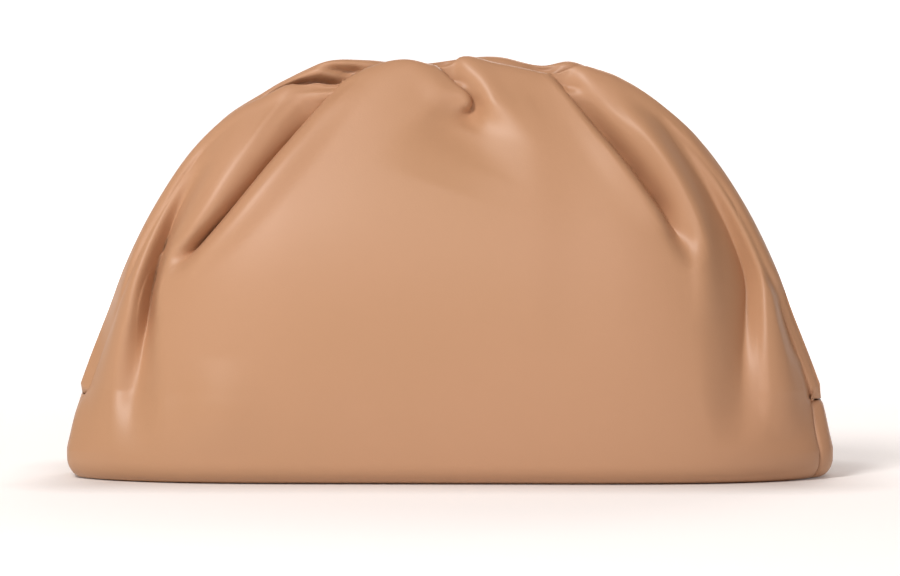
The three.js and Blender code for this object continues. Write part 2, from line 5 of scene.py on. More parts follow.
import bmesh
import bpy
import numpy as np
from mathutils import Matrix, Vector


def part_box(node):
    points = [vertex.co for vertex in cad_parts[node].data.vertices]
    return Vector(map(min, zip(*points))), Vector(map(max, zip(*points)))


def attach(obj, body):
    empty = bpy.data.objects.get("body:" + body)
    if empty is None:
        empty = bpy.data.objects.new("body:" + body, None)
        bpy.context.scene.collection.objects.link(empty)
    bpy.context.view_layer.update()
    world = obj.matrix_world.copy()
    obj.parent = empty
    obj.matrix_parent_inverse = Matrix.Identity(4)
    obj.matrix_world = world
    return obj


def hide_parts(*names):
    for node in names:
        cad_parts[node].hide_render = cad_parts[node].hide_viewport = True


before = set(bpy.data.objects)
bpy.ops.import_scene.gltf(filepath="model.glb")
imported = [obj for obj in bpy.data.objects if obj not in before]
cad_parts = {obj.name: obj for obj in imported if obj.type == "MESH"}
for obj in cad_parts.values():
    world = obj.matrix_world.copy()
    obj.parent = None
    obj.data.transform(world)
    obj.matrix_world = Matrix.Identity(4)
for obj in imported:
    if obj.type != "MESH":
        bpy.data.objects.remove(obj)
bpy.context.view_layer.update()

# The view
# A long studio lens stands well back, very nearly square to the bag and slightly above its middle.
picture_span = 0.447  # metres across the picture, at the middle of the bag
camera_distance = 2.4  # metres
camera_rise = math.radians(3)
camera_turn = math.radians(1)
look_at = Vector((0, 0, 0.093))
towards_camera = Vector((
    math.sin(camera_turn) * math.cos(camera_rise),
    -math.cos(camera_turn) * math.cos(camera_rise),
    math.sin(camera_rise),
))
lens = bpy.data.cameras.new("long_lens")
lens.sensor_width = 36
lens.lens = lens.sensor_width * camera_distance / picture_span
camera = bpy.data.objects.new("studio_camera", lens)
camera.location = look_at + camera_distance * towards_camera
camera.rotation_euler = towards_camera.to_track_quat("Z", "Y").to_euler()
bpy.context.collection.objects.link(camera)
bpy.context.scene.camera = camera

# The floor and the light
# A white paper sweep under and behind the bag, lit by a soft box at the upper left, a weak one above the
# camera, another one behind the bag and an even warm surround.
bpy.context.scene.view_settings.view_transform = "Standard"


def linear(code):
    """A colour given as an sRGB hex value, as the shader wants it."""
    parts = [int(code[i:i + 2], 16) / 255 for i in (1, 3, 5)]
    straight = [c / 12.92 if c <= 0.04045 else ((c + 0.055) / 1.055) ** 2.4 for c in parts]
    return (*straight, 1.0)


def add_node(tree, kind, settings=None, values=None, links=None):
    """A node with its settings, the values of its inputs, and what each linked input takes."""
    node = tree.nodes.new(kind)
    for name, value in (settings or {}).items():
        setattr(node, name, value)
    for name, value in (values or {}).items():
        node.inputs[name].default_value = value
    for name, source in (links or {}).items():
        tree.links.new(source, node.inputs[name])
    return node


def make_mesh(name, points, faces):
    """A smooth mesh object from points in millimetres."""
    mesh = bpy.data.meshes.new(name)
    mesh.from_pydata((np.asarray(points) * 0.001).tolist(), [], faces)
    mesh.polygons.foreach_set("use_smooth", [True] * len(mesh.polygons))
    piece = bpy.data.objects.new(name, mesh)
    bpy.context.collection.objects.link(piece)
    return piece


def paper_sweep():
    """Points and faces of a sheet that lies flat and rises behind the bag in a wide bend."""
    half_span = 4500
    front_end = -4500
    flat_end = 3000
    wall_top = 4500
    bend = 900
    bend_steps = 12
    sunk = 0.2  # below the bag's foot, so that the two surfaces never meet
    route = [(front_end, 0), (flat_end, 0)]
    for step in range(1, bend_steps + 1):
        turn = math.radians(90 * step / bend_steps)
        route.append((flat_end + bend * math.sin(turn), bend * (1 - math.cos(turn))))
    route.append((flat_end + bend, wall_top))
    points = [(side * half_span, y, z - sunk) for y, z in route for side in (-1, 1)]
    faces = [(2 * i, 2 * i + 1, 2 * i + 3, 2 * i + 2) for i in range(len(route) - 1)]
    return points, faces


floor = make_mesh("paper_floor", *paper_sweep())
paper = bpy.data.materials.new("matt white paper")
paper.use_nodes = True
paper_shader = paper.node_tree.nodes["Principled BSDF"]
paper_shader.inputs["Base Color"].default_value = linear("#E8E7E6")
paper_shader.inputs["Roughness"].default_value = 0.9
paper_shader.inputs["Specular IOR Level"].default_value = 0.1
paper_shader.inputs["Emission Color"].default_value = linear("#FFFFFF")
paper_place = add_node(paper.node_tree, "ShaderNodeTexCoord")
paper_axes = add_node(
    paper.node_tree,
    "ShaderNodeSeparateXYZ",
    links={"Vector": paper_place.outputs["Object"]},
)
# The paper has lights of its own, stronger behind the bag
paper_glow = add_node(
    paper.node_tree,
    "ShaderNodeMapRange",
    values={"From Min": 0.0, "From Max": 1.6, "To Min": 0.33, "To Max": 0.75},
    links={"Value": paper_axes.outputs["Y"]},
)
# The paper's glow is painted out under the bag and close to its foot, as a painted contact shadow
bag_foot = (0.165, 0.045, 0)  # metres from the middle to the edge of the dark patch
foot_shade_run = 0.06
paper_beside = add_node(
    paper.node_tree,
    "ShaderNodeVectorMath",
    settings={"operation": "ABSOLUTE"},
    links={0: paper_place.outputs["Object"]},
)
paper_beyond = add_node(
    paper.node_tree,
    "ShaderNodeVectorMath",
    settings={"operation": "SUBTRACT"},
    values={1: bag_foot},
    links={0: paper_beside.outputs["Vector"]},
)
paper_clear = add_node(
    paper.node_tree,
    "ShaderNodeVectorMath",
    settings={"operation": "MAXIMUM"},
    values={1: (0, 0, 0)},
    links={0: paper_beyond.outputs["Vector"]},
)
paper_away = add_node(
    paper.node_tree,
    "ShaderNodeVectorMath",
    settings={"operation": "LENGTH"},
    links={0: paper_clear.outputs["Vector"]},
)
# Painted shadow: no glow at the bag's foot, full glow from foot_shade_run away
paper_painted_shadow = add_node(
    paper.node_tree,
    "ShaderNodeMapRange",
    values={"From Min": 0.0, "From Max": foot_shade_run},
    links={"Value": paper_away.outputs["Value"]},
)
paper_light = add_node(
    paper.node_tree,
    "ShaderNodeMath",
    settings={"operation": "MULTIPLY"},
    links={0: paper_glow.outputs["Result"], 1: paper_painted_shadow.outputs["Result"]},
)
paper.node_tree.links.new(paper_light.outputs["Value"], paper_shader.inputs["Emission Strength"])
floor.data.materials.append(paper)

surround = bpy.data.worlds.new("warm_surround")
surround.use_nodes = True
surround.node_tree.nodes["Background"].inputs["Color"].default_value = linear("#FFDCC8")
surround.node_tree.nodes["Background"].inputs["Strength"].default_value = 0.18
bpy.context.scene.world = surround


def soft_box(name, place, size, power, colour):
    """A soft light panel at a place in metres, turned to the bag."""
    light = bpy.data.lights.new(name, "AREA")
    light.shape = "RECTANGLE"
    light.size, light.size_y = size
    light.energy = power
    light.color = linear(colour)[:3]
    box = bpy.data.objects.new(name, light)
    box.location = place
    aim = Vector(place) - look_at
    box.rotation_euler = aim.to_track_quat("Z", "Y").to_euler()
    bpy.context.collection.objects.link(box)


soft_box("key_box", (-0.85, -1.36, 1.48), (0.6, 0.6), 31.5, "#FFF8F4")
soft_box("front_box", (0.3, -2.0, 1.0), (0.7, 0.5), 6, "#FFF0F2")
soft_box("rear_box", (0.5, 1.8, 1.3), (0.8, 0.6), 9, "#FFF4EE")

# The frame
# An arched steel rod in each mouth hem, the two closed on each other and hinged low at the sides. The
# leather hides it, so its own solid stays, in brushed steel.
arch_height = 191  # centre of the rod above the base, in the middle
hinge_height = 44
half_width = 190  # half of the bag's width at its base
rod_radius = 2.6
clearance = 0.3
mouth_slit = 1  # between the two rolled lips

# Half of the arch, from the hinge to the middle: reach as a share of half the width, and height as a
# share of the way up from the hinge.
arch_rows = [
    (0.939, 0.0),
    (0.912, 0.095),
    (0.868, 0.245),
    (0.826, 0.393),
    (0.747, 0.599),
    (0.646, 0.788),
    (0.547, 0.902),
    (0.458, 0.953),
    (0.337, 0.975),
    (0.168, 0.994),
    (0.0, 1.0),
]


def smooth_curve(rows, per_span):
    """Samples of a rounded curve through all rows, spaced by their first two columns."""
    rows = np.asarray(rows, float)
    padded = np.vstack([2 * rows[0] - rows[1], rows, 2 * rows[-1] - rows[-2]])
    least_gap = 1e-6
    steps = np.maximum(np.linalg.norm(np.diff(padded[:, :2], axis=0), axis=1), least_gap) ** 0.5
    share = np.linspace(0, 1, per_span, endpoint=False)[:, None]
    samples = []
    for i in range(1, len(padded) - 2):
        before, start, end, after = padded[i - 1:i + 3]
        a, b, c = steps[i - 1:i + 2]
        leave = ((start - before) / a - (end - before) / (a + b) + (end - start) / b) * b
        arrive = ((end - start) / b - (after - start) / (b + c) + (after - end) / c) * b
        samples.append(
            start
            + leave * share
            + (3 * (end - start) - 2 * leave - arrive) * share ** 2
            + (2 * (start - end) + leave + arrive) * share ** 3
        )
    samples.append(rows[-1:])
    return np.vstack(samples)


left_arch = [(-reach * half_width, hinge_height + height * (arch_height - hinge_height))
             for reach, height in arch_rows]
right_arch = [(-x, z) for x, z in left_arch[-2::-1]]
arch_samples = 60  # between one place and the next
arch_line = smooth_curve(left_arch + right_arch, arch_samples)
arch_run = np.concatenate([[0], np.cumsum(np.linalg.norm(np.diff(arch_line, axis=0), axis=1))])
arch_share = arch_run / arch_run[-1]
arch_way = np.gradient(arch_line, arch_run, axis=0)


def arch_at(share):
    """Places on the arch, and the way it runs there, at shares of its length from the left hinge."""
    place = np.stack([np.interp(share, arch_share, arch_line[:, k]) for k in (0, 1)], axis=-1)
    way = np.stack([np.interp(share, arch_share, arch_way[:, k]) for k in (0, 1)], axis=-1)
    return place, way


rod_low, rod_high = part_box("hidden_frame")
bag_middle = 1000 * np.array((rod_low + rod_high) / 2) * (1, 1, 0)  # millimetres

brushed_steel = bpy.data.materials.new("brushed steel rod")
brushed_steel.use_nodes = True
steel_tree = brushed_steel.node_tree
steel_shader = steel_tree.nodes["Principled BSDF"]
steel_shader.inputs["Base Color"].default_value = linear("#A7A8AA")
steel_shader.inputs["Metallic"].default_value = 1.0
steel_place = add_node(steel_tree, "ShaderNodeTexCoord")
steel_streaks = add_node(
    steel_tree,
    "ShaderNodeTexNoise",
    values={"Scale": 900.0, "Detail": 3.0},
    links={"Vector": steel_place.outputs["Object"]},
)
steel_gloss = add_node(
    steel_tree,
    "ShaderNodeMapRange",
    values={"To Min": 0.25, "To Max": 0.42},
    links={"Value": steel_streaks.outputs["Fac"]},
)
steel_tree.links.new(steel_gloss.outputs["Result"], steel_shader.inputs["Roughness"])
for material_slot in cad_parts["hidden_frame"].material_slots:
    material_slot.material = brushed_steel

# The leather
# Smooth calf leather, drum dyed in warm tan and left with a satin face. It has a hardly visible grain,
# slight clouds in its colour, and a soft broad shine.
leather_thickness = 1.6
calf = bpy.data.materials.new("smooth satin calf leather")
calf.use_nodes = True
calf_tree = calf.node_tree
calf_shader = calf_tree.nodes["Principled BSDF"]
calf_shader.inputs["Specular IOR Level"].default_value = 0.42
calf_place = add_node(calf_tree, "ShaderNodeTexCoord")
calf_clouds = add_node(
    calf_tree,
    "ShaderNodeTexNoise",
    values={"Scale": 9.0, "Detail": 2.0, "Roughness": 0.45},
    links={"Vector": calf_place.outputs["Object"]},
)
calf_colour = add_node(
    calf_tree,
    "ShaderNodeMix",
    settings={"data_type": "RGBA"},
    links={"Factor": calf_clouds.outputs["Fac"]},
)
first_colour, second_colour, mixed_colour = 6, 7, 2  # where a mix node has its colour sockets
calf_colour.inputs[first_colour].default_value = linear("#BB926E")
calf_colour.inputs[second_colour].default_value = linear("#C29676")
calf_tree.links.new(calf_colour.outputs[mixed_colour], calf_shader.inputs["Base Color"])
calf_gloss = add_node(
    calf_tree,
    "ShaderNodeMapRange",
    values={"To Min": 0.4, "To Max": 0.48},
    links={"Value": calf_clouds.outputs["Fac"]},
)
calf_tree.links.new(calf_gloss.outputs["Result"], calf_shader.inputs["Roughness"])
# Pores about 0.9 mm apart, drawn coarser than the real ones so that they can show
calf_grain = add_node(
    calf_tree,
    "ShaderNodeTexVoronoi",
    settings={"feature": "SMOOTH_F1"},
    values={"Scale": 1100.0, "Smoothness": 0.6},
    links={"Vector": calf_place.outputs["Object"]},
)
calf_bump = add_node(
    calf_tree,
    "ShaderNodeBump",
    values={"Strength": 0.08, "Distance": 0.0002},
    links={"Height": calf_grain.outputs["Distance"]},
)
calf_tree.links.new(calf_bump.outputs["Normal"], calf_shader.inputs["Normal"])


weld_distance = 1e-6  # metres


def sheet_of_leather(name, grid):
    """A grid of points in millimetres as a piece of leather with its thickness on the inside."""
    columns, rows = grid.shape[:2]
    at = np.arange(columns * rows).reshape(columns, rows)
    faces = np.stack([at[:-1, :-1], at[:-1, 1:], at[1:, 1:], at[1:, :-1]], axis=-1).reshape(-1, 4)
    piece = make_mesh(name, grid.reshape(-1, 3) + bag_middle, faces.tolist())
    shape = bmesh.new()
    shape.from_mesh(piece.data)
    bmesh.ops.remove_doubles(shape, verts=shape.verts, dist=weld_distance)
    bmesh.ops.recalc_face_normals(shape, faces=shape.faces)
    heart = Vector(bag_middle + (0, 0, hinge_height)) * 0.001
    facing = sum(
        face.normal.dot(face.calc_center_median() - heart) * face.calc_area() for face in shape.faces
    )
    if facing < 0:
        bmesh.ops.reverse_faces(shape, faces=shape.faces)
    shape.to_mesh(piece.data)
    shape.free()
    piece.data.materials.append(calf)
    wall = piece.modifiers.new("leather_thickness", "SOLIDIFY")
    wall.thickness = leather_thickness * 0.001
    wall.offset = -1
    return piece


# The front leather
# One hide panel, gathered over the front rod at the mouth, turned down inside as a hem, and falling in a
# few big folds to the base, where it turns under to the middle seam. It is glued at the hem.
belly_depth = 58  # centre plane to the fullest part
side_depth = 20  # half the width of a gusset at its foot
hem_depth = 16
gather_rise = 14  # how far the gathered leather can stand above the frame
least_rise = 0.03  # share of gather_rise that a lip always stands up
flare_share = 0.6  # how far a gather stands out to the front, as a share of its rise
even_span = 0.05  # share of the mouth over which the gathers even out further down
shoulder_run = 160  # drop below the mouth over which the panel swells out
side_run = 120  # distance from the side over which it swells out
top_start = 1.05  # how late it swells out below the middle of the mouth
top_start_spread = 0.4  # how much sooner at the sides
side_start = 0.75
swell_blend = 4  # how sharply the two swellings meet
foot_roll = 10  # radius with which it turns under the base
corner_round = 8  # how far the lower corners are rounded, seen from the front
base_seam = 330  # length of the seam along the middle of the base
settle_drop = 60  # drop below the frame over which the gathers fan out
lip_radius = rod_radius + clearance + leather_thickness
lip_offset = mouth_slit / 2 + lip_radius
nod_start = 8.5  # height over the rod from which a lip can nod over the other one
lip_sway = 0.7  # how far the closed lips sway together to the front and back, which shuts the slit to light
sway_count = 9

# The rows of a panel down to its wall: the hem from its lower edge up to the rod, the lip's inner face as
# shares of its rise, its roll, and its outer face. Below them come the wall, the foot's roll and the base.
hem_steps = (1, 0.5, 0)
inner_steps = (0.25, 0.4, 0.52, 0.64, 0.76, 0.88, 0.96)
roll_rows = 13
outer_steps = (0.2, 0.4, 0.6, 0.8)
hem_rows = len(hem_steps) + len(inner_steps)
roll_top = hem_rows + roll_rows // 2
roll_end = hem_rows + roll_rows - 1
rows_above_wall = hem_rows + roll_rows + len(outer_steps)
first_face_row = len(hem_steps) + 1  # where the folds of a lip's face start
first_folded_row = roll_top + 1  # where all other folds start
wall_crowding = 1.08  # above 1 the wall's rows crowd below the mouth
foot_rows = 10
base_steps = (0.3, 0.6, 0.85, 1)  # shares of the way from the foot's roll to the seam

# The bend from the lip into the wall: how strongly each pass evens out the rows there
bend_rows = (roll_top, roll_top + 4, rows_above_wall + 8, rows_above_wall + 18)
bend_strength = (0, 0.5, 0.5, 0)
bend_passes = 30

# Lines down the panel, which its columns follow: where each leaves the mouth, as a share of the arch,
# how far its top leans to the right, 1 if the columns crowd beside it for a crisp fold, and its places
# below the mouth as (height, x).
front_lines = [
    (0.0, 0, 0, [(36.5, -183.4), (29, -186), (21.5, -187.4), (14, -188.6)]),
    (0.073, 0, 0, [(62, -168.9), (46, -172.5), (30, -175), (14, -175.9)]),
    (0.235, 0, 0, [(124.8, -141), (87.9, -153.9), (51, -160), (14, -160.9)]),
    (0.33, 0, 0, [(142, -117.8), (99, -149.2), (56.7, -153.9), (14, -152)]),
    (0.39, 20, 1, [(172, -71.8), (156.2, -85.3), (140.8, -98), (128.6, -108.5), (119, -118),
                   (112, -126), (103, -137), (88, -143.5), (50.6, -147), (14, -146.2)]),
    (0.511, -12.9, 1, [(180, 10.5), (172, 9.8), (157.8, 11.7), (114.9, 11.6), (14, 11.6)]),
    (0.577, 0, 0, [(149, 60), (105, 69.9), (58, 73), (14, 73)]),
    (0.614, -9, 1, [(186, 60.3), (177.8, 66.8), (166.5, 76.6), (155.2, 86.2), (147.3, 92.1),
                    (139.4, 97.8), (131.5, 104), (126, 108.5), (120, 112.5), (112, 117.5), (90.1, 121.5),
                    (51.6, 123), (14, 123)]),
    (0.652, 0, 0, [(150, 110), (105, 128), (60, 130.5), (14, 130)]),
    (0.704, 0, 0, [(140, 126), (98, 144), (56, 144), (14, 143)]),
    (0.817, 0, 0, [(98, 150.1), (70, 159.6), (42, 166.3), (14, 168.2)]),
    (1.0, 0, 0, [(36.5, 178.8), (29, 179.6), (21.5, 180.7), (14, 182.4)]),
]

# Folds by the places they pass through: x, z, depth into the panel (outwards where negative), widths to
# the left and to the right, how open each side is (0.6 tight against the line, 2 an open valley), and
# how far the edge beside it hangs over it, to the left where negative.
front_folds = {
    "crease_left": [
        (-43, 205, 5, 14, 2.5, 0.8, 0.65, -1.2),
        (-48.5, 199, 6, 16, 2.5, 0.8, 0.62, -1.5),
        (-56.6, 190.8, 9, 20, 2.5, 0.8, 0.62, -2.0),
        (-63.8, 181.5, 13, 21, 3, 0.76, 0.6, -2.5),
        (-71.8, 172, 17, 22, 3, 0.72, 0.6, -2.8),
        (-87.3, 154, 20, 20, 3, 0.68, 0.6, -2.8),
        (-98, 140.8, 20, 18, 3, 0.68, 0.6, -2.8),
        (-108.5, 128.6, 19, 14, 3, 0.74, 0.62, -2.4),
        (-118, 119, 16, 11, 4, 0.85, 0.68, -1.6),
        (-126, 112, 9, 9, 5, 1.2, 1.0, -0.6),
        (-132.5, 107, 3, 8, 6, 1.7, 1.6, 0),
        (-137, 103, 0, 7, 6, 2, 2, 0),
    ],
    "rim_left": [
        (-43, 196, 0, 3, 10, 2, 2, 0),
        (-54, 187.6, -1.2, 3, 11, 2, 2, 0),
        (-70.3, 168.8, -2.2, 3, 12, 2, 2, 0),
        (-85.8, 150.8, -2.4, 3, 12, 2, 2, 0),
        (-96.6, 137.6, -2.4, 3, 12, 2, 2, 0),
        (-107.8, 124.4, -2.2, 3, 11, 2, 2, 0),
        (-119, 113, -1.8, 4, 11, 2, 2, 0),
        (-128, 102, -1, 6, 11, 2, 2, 0),
        (-135, 92, 0, 7, 12, 2, 2, 0),
    ],
    "side_roll_left": [
        (-118, 170, 0, 5, 8, 2, 2, 0),
        (-137, 147, -3, 5, 9, 2, 2, 0),
        (-151, 121, -6, 5, 11, 2, 2, 0),
        (-158.5, 101, -9, 6, 14, 2, 2, 0),
        (-163, 82, -9, 7, 16, 2, 2, 0),
        (-167, 62, -5.5, 9, 17, 2, 2, 0),
        (-170, 44, -2.8, 11, 17, 2, 2, 0),
        (-172, 28, -1, 12, 17, 2, 2, 0),
        (-174, 12, 0, 12, 15, 2, 2, 0),
    ],
    "valley_left": [
        (-117, 160, 0, 7, 6, 2, 2, 0),
        (-127, 145, 4, 8, 6, 1.5, 1.5, 0),
        (-134, 132, 8, 8, 6, 1.2, 1.2, 0),
        (-139.5, 118, 13, 9, 5, 1.0, 1.0, 0),
        (-143.5, 106, 16, 9, 5, 1.0, 1.0, 0),
        (-146.5, 94, 17, 10, 5, 1.0, 1.1, 0),
        (-148.5, 80, 15, 11, 7, 1.0, 1.3, 0),
        (-151, 64, 10, 13, 10, 1.2, 1.6, 0),
        (-152.5, 42, 5, 14, 13, 1.7, 1.9, 0),
        (-152, 26, 2, 14, 14, 2, 2, 0),
        (-151.5, 8, 0, 14, 14, 2, 2, 0),
    ],
    "low_left": [
        (-112, 62, 0, 20, 24, 2, 2, 0),
        (-112, 38, -2.5, 22, 26, 2, 2, 0),
        (-112, 14, 0, 20, 24, 2, 2, 0),
    ],
    "roll_left": [
        (-85, 188, 0, 16, 16, 2, 2, 0),
        (-103, 166, -2, 18, 16, 2, 2, 0),
        (-118.5, 137, -3, 12, 12, 2, 2, 0),
        (-128.5, 121, -2.5, 8, 8, 2, 2, 0),
        (-134, 112, 0, 6, 7, 2, 2, 0),
    ],
    "pinch": [
        (-8, 205, 7, 2, 12, 0.62, 0.9, 1.2),
        (2, 194.2, 9, 2, 14, 0.62, 0.9, 2.0),
        (8.1, 188.9, 11, 2.5, 14, 0.62, 0.9, 2.4),
        (10.8, 184.1, 12, 3.5, 11, 0.75, 1.0, 1.8),
        (9.5, 179.5, 6, 7, 9, 1.5, 1.6, 0.4),
        (7, 173, 0, 10, 12, 2, 2, 0),
    ],
    "pinch_rim": [
        (-12, 202, -0.4, 10, 5, 2, 2, 0),
        (-3, 192, -1, 11, 5, 2, 2, 0),
        (4, 186, -1, 11, 5, 2, 2, 0),
        (5, 180, 0, 10, 5, 2, 2, 0),
    ],
    "pinch_dimple": [
        (8, 190, 0, 14, 24, 2, 2, 0),
        (5, 180, 5.5, 17, 38, 2, 2, 0),
        (2, 171, 5.5, 22, 46, 2, 2, 0),
        (-3, 160, 2.4, 28, 50, 2, 2, 0),
        (-8, 146, 0, 34, 50, 2, 2, 0),
    ],
    "crease_right": [
        (44, 206, 7, 1.5, 14, 0.62, 0.85, 0.8),
        (53.7, 194.2, 10, 1.4, 18, 0.6, 0.85, 1.2),
        (60.3, 186, 14, 1.4, 20, 0.6, 0.85, 1.4),
        (66.8, 177.8, 19, 1.4, 22, 0.6, 0.85, 1.5),
        (86.2, 155.2, 26, 1.4, 22, 0.6, 0.88, 1.6),
        (97.8, 139.4, 27, 1.4, 20, 0.6, 0.9, 1.6),
        (104, 131.5, 20, 2.2, 18, 0.7, 1.0, 1.2),
        (108.5, 126, 12, 4, 17, 1.1, 1.1, 0.4),
        (112.5, 120, 8, 6, 15, 1.7, 1.4, 0),
        (117, 113.5, 4, 7, 13, 2, 1.8, 0),
        (122, 106, 0, 8, 10, 2, 2, 0),
    ],
    "rim_right": [
        (50, 199, 0, 10, 2, 1.6, 2, 0),
        (66.5, 178, -1.2, 12, 2, 1.6, 2, 0),
        (85.9, 155.4, -1.8, 14, 2, 1.6, 2, 0),
        (97.5, 139.6, -1.8, 14, 2, 1.6, 2, 0),
        (103, 131, -1, 12, 3, 1.7, 2, 0),
        (107, 125, 0, 10, 5, 2, 2, 0),
    ],
    "roll_right": [
        (82, 186, 0, 8, 8, 2, 2, 0),
        (107, 162, -3, 9, 8, 2, 2, 0),
        (123, 134, -3, 9, 8, 2, 2, 0),
        (127, 99.5, -2, 10, 9, 2, 2, 0),
        (128, 75, 0, 11, 10, 2, 2, 0),
    ],
    "side_roll_right": [
        (112, 172, 0, 7, 6, 2, 2, 0),
        (134, 148, -2, 8, 5, 2, 2, 0),
        (151, 120, -4, 9, 5, 2, 2, 0),
        (160, 100, -5, 10, 6, 2, 2, 0),
        (163, 82, -5.5, 12, 7, 2, 2, 0),
        (164, 66, -5, 13, 9, 2, 2, 0),
        (166, 50, -4.5, 15, 10, 2, 2, 0),
        (167, 36, -3.5, 16, 12, 2, 2, 0),
        (167, 20, 0, 14, 12, 2, 2, 0),
    ],
    "valley_right": [
        (100, 178, 0, 8, 8, 2, 2, 0),
        (113, 163, 4, 11, 8, 1.6, 1.6, 0),
        (128, 140, 8, 16, 8, 1.2, 1.5, 0),
        (139.5, 117, 13, 23, 9, 0.95, 1.3, 0),
        (145.5, 98, 16, 27, 10, 0.9, 1.3, 0),
        (145.5, 82, 15, 27, 11, 0.9, 1.4, 0),
        (144, 60, 10, 24, 13, 1.1, 1.6, 0),
        (143, 38, 5, 20, 15, 1.6, 1.8, 0),
        (142, 18, 0, 14, 12, 2, 2, 0),
    ],
    "soft_right": [
        (55, 170, 0, 14, 14, 2, 2, 0),
        (61.5, 138.6, 0.6, 18, 24, 2, 2, 0),
        (61, 100, 0.8, 20, 26, 2, 2, 0),
        (60, 45, 0, 20, 24, 2, 2, 0),
    ],
    "valley_far": [
        (156, 104, 0, 4, 5, 2, 2, 0),
        (162, 92, 4, 4, 6, 1.5, 2, 0),
        (166, 78, 7, 5, 8, 1.4, 2, 0),
        (171, 64, 4, 6, 8, 1.8, 2, 0),
        (174, 56, 0, 6, 6, 2, 2, 0),
    ],
    "hinge_hollow": [
        (174, 58, 0, 4, 8, 2, 2, 0),
        (177, 50, 4, 4, 9, 1.4, 2, 0),
        (179, 42, 6, 4, 9, 1.2, 2, 0),
        (181, 36, 0, 4, 8, 2, 2, 0),
    ],
}

# How far the lip stands above the frame: share of the arch, rise as a share of gather_rise, and how far
# its top nods towards the other lip.
front_lip = [
    (0.0, 0.06, 0),
    (0.3, 0.06, 0),
    (0.33, 0.1, 0),
    (0.346, 0.28, 0),
    (0.356, 0.2, 0),
    (0.366, 0.22, 0),
    (0.376, 0.12, 0),
    (0.387, 0.14, 0),
    (0.396, 0.5, 0),
    (0.41, 0.66, 0),
    (0.433, 0.79, 0),
    (0.466, 0.79, 0),
    (0.49, 0.64, 0),
    (0.508, 0.52, 0),
    (0.516, 0.6, 0),
    (0.526, 0.86, 0),
    (0.552, 0.68, 0),
    (0.598, 0.45, 0),
    (0.612, 0.5, 0),
    (0.63, 0.84, 0),
    (0.645, 0.72, 0),
    (0.666, 0.46, 0),
    (0.697, 0.17, 0),
    (0.74, 0.06, 0),
    (1.0, 0.06, 0),
]

# Where the lip ends at each hinge: its height, and how far out it reaches there
hinge_tuck = {"left": (41, 182.8), "right": (38.8, 184.2)}
bow_power = 4  # how flat an end is across the bag's middle, and how tightly it turns at its edges


def way_of_line(rows, z):
    """x of a line at heights z, rounded through its places, which are given from the top down."""
    knots = np.array(rows, float)[::-1]
    slopes = np.gradient(knots[:, 1], knots[:, 0])
    z = np.clip(z, knots[0, 0], knots[-1, 0])
    span = np.clip(np.searchsorted(knots[:, 0], z, side="right") - 1, 0, len(knots) - 2)
    gap = knots[span + 1, 0] - knots[span, 0]
    t = (z - knots[span, 0]) / gap
    return (
        (2 * t ** 3 - 3 * t ** 2 + 1) * knots[span, 1]
        + (t ** 3 - 2 * t ** 2 + t) * gap * slopes[span]
        + (3 * t ** 2 - 2 * t ** 3) * knots[span + 1, 1]
        + (t ** 3 - t ** 2) * gap * slopes[span + 1]
    )


outline_rows = 20  # below the hinge


def side_outline(line, mirrored):
    """Reach and height of a panel's outline on one side, from the top of the arch down."""
    half = arch_line[:len(arch_line) // 2 + 1]
    if mirrored:
        half = arch_line[::-1][:len(arch_line) // 2 + 1]
    upper = np.abs(half[::-1])
    heights = np.linspace(hinge_height, foot_roll, outline_rows)[1:]
    lower = np.abs(way_of_line([tuple(half[0][::-1])] + line[3], heights))
    return np.concatenate([upper[:, 0], lower]), np.concatenate([upper[:, 1], heights])


def describe_panel(lines, folds, face_folds, lip, sway):
    """What panel_grid needs to know of a panel."""
    return {
        "lines": lines,
        "sway": sway,
        "folds": folds,
        "face_folds": face_folds,
        "lip": np.array(lip, float),
        "left": side_outline(lines[0], False),
        "right": side_outline(lines[-1], True),
    }


def reach_at(panel, side, z):
    """How far a panel reaches out to one side at heights z."""
    reach, height = panel[side]
    return np.interp(z, height[::-1], reach[::-1])


def outline_height(panel, x):
    """How high a panel reaches at places across it."""
    return np.where(x < 0, np.interp(-x, *panel["left"]), np.interp(x, *panel["right"]))


def swell(share, start):
    """How far a panel has swelled out, from 0 at its outline to 1 at its fullest: a low start is full."""
    least_swell = 1e-6
    return np.maximum((1 - (1 - np.clip(share, 0, 1)) ** 2) ** start, least_swell)


def half_depth(panel, x, z, lip_depth):
    """Half depth of the bag at a place seen from the front, before the folds."""
    below = outline_height(panel, x) - z
    beside = np.where(x < 0, reach_at(panel, "left", z), reach_at(panel, "right", z)) - np.abs(x)
    from_top = swell(below / shoulder_run, top_start - top_start_spread * (x / half_width) ** 2)
    from_side = swell(beside / side_run, side_start)
    full = ((from_top ** -swell_blend + from_side ** -swell_blend) / 2) ** (-1 / swell_blend)
    drop = np.clip((hinge_height - z) / (hinge_height - foot_roll), 0, 1)
    drop = drop * drop * (3 - 2 * drop)
    edge = lip_depth + (np.maximum(side_depth, lip_depth) - lip_depth) * drop
    return edge + (belly_depth - edge) * full


fold_samples = 24  # between one place of a fold and the next
hang_form = 0.6  # below 1 the overhang is fullest close to the fold's edge


